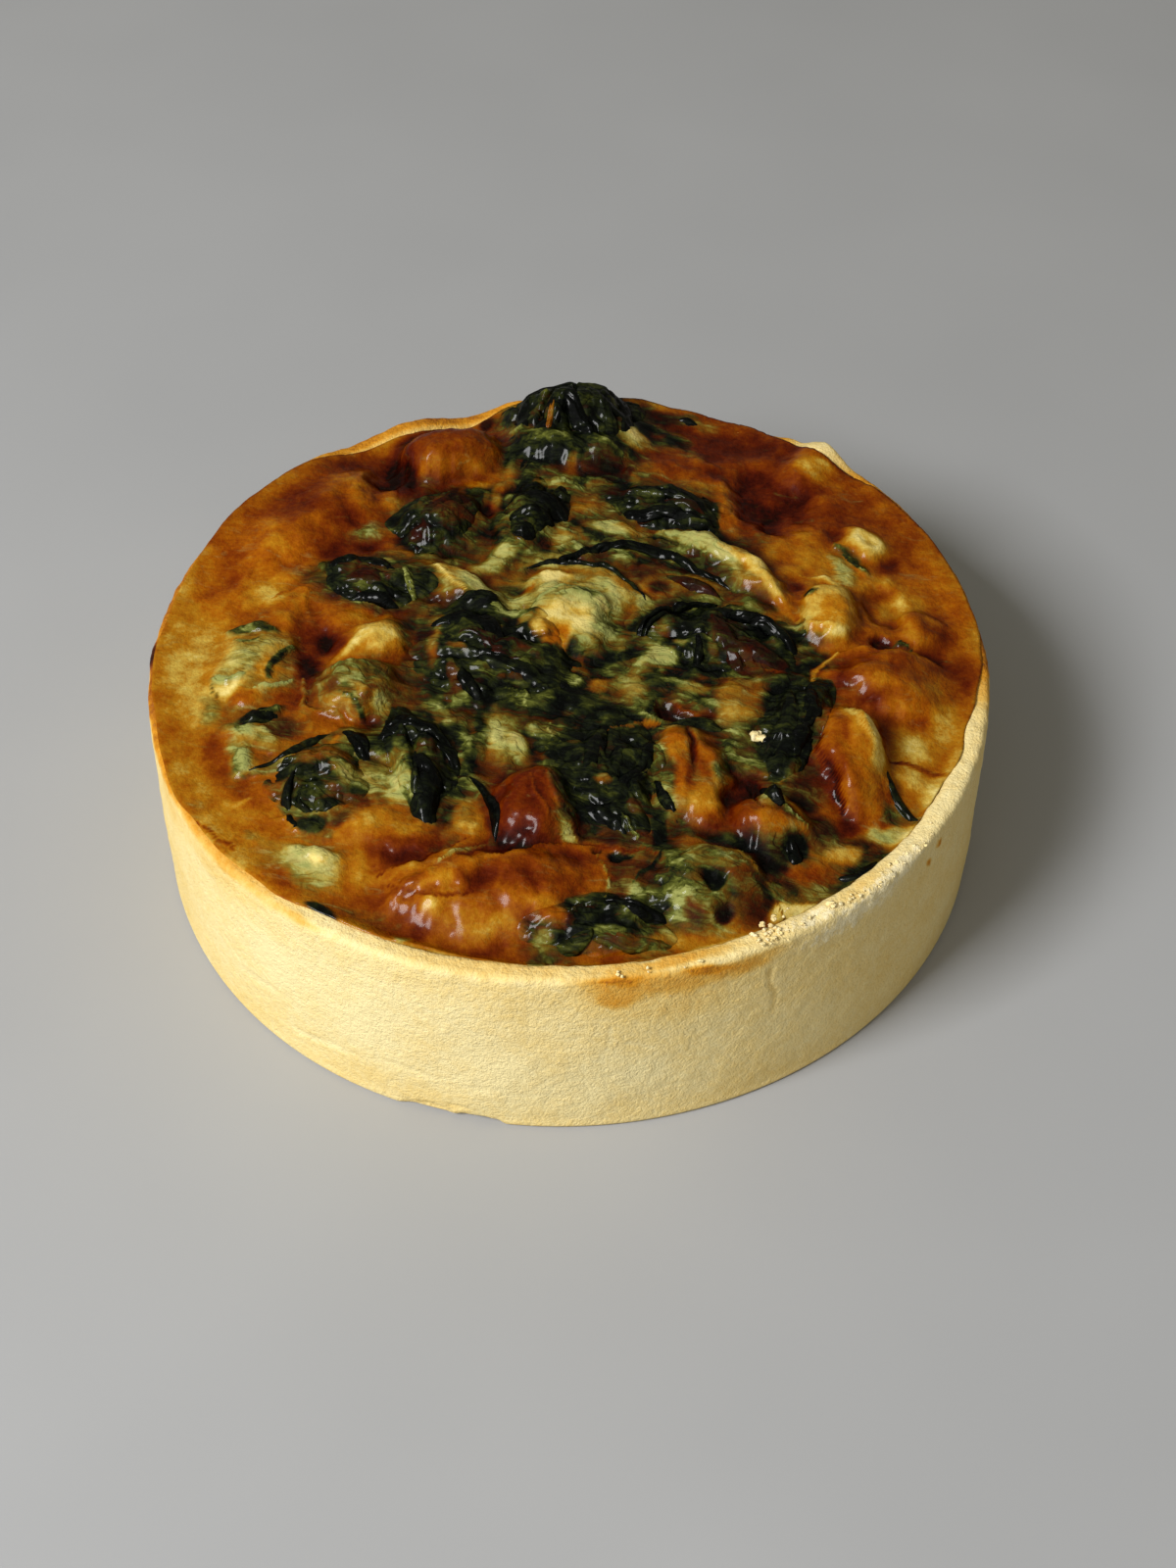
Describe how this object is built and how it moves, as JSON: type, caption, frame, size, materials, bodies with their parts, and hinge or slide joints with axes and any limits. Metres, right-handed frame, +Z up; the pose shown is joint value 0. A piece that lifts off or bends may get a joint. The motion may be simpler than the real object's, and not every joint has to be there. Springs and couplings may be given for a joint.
{
  "type": "spinach quiche",
  "caption": "Small deep round quiche: straight-sided pale shortcrust case filled with baked egg custard, its lumpy browned top set with dark wilted spinach.",
  "frame": {"origin": "centre of the flat underside", "axes": "+Z up through the quiche; -Y is the side that faces the viewer, opposite the standing tuft of spinach"},
  "size_m": [0.1108, 0.1102, 0.0366],
  "materials": {
    "crust": "matte, fine crumb, pale gold shortcrust pastry",
    "custard": "glossy baked egg skin, cream to golden to deep brown",
    "spinach": "wet dark green wilted leaf, charred at the tips"
  },
  "bodies": {
    "root": {"pastry_case": "crust", "filling": "custard", "spinach_tuft": "spinach", "spinach_upper": "spinach", "spinach_upper_left": "spinach", "spinach_band": "spinach", "spinach_leaf_right": "spinach", "spinach_right": "spinach", "spinach_centre": "spinach", "spinach_front_centre": "spinach", "spinach_curl": "spinach", "spinach_left": "spinach", "spinach_left_upper": "spinach", "spinach_front": "spinach"}
  },
  "joints": []
}
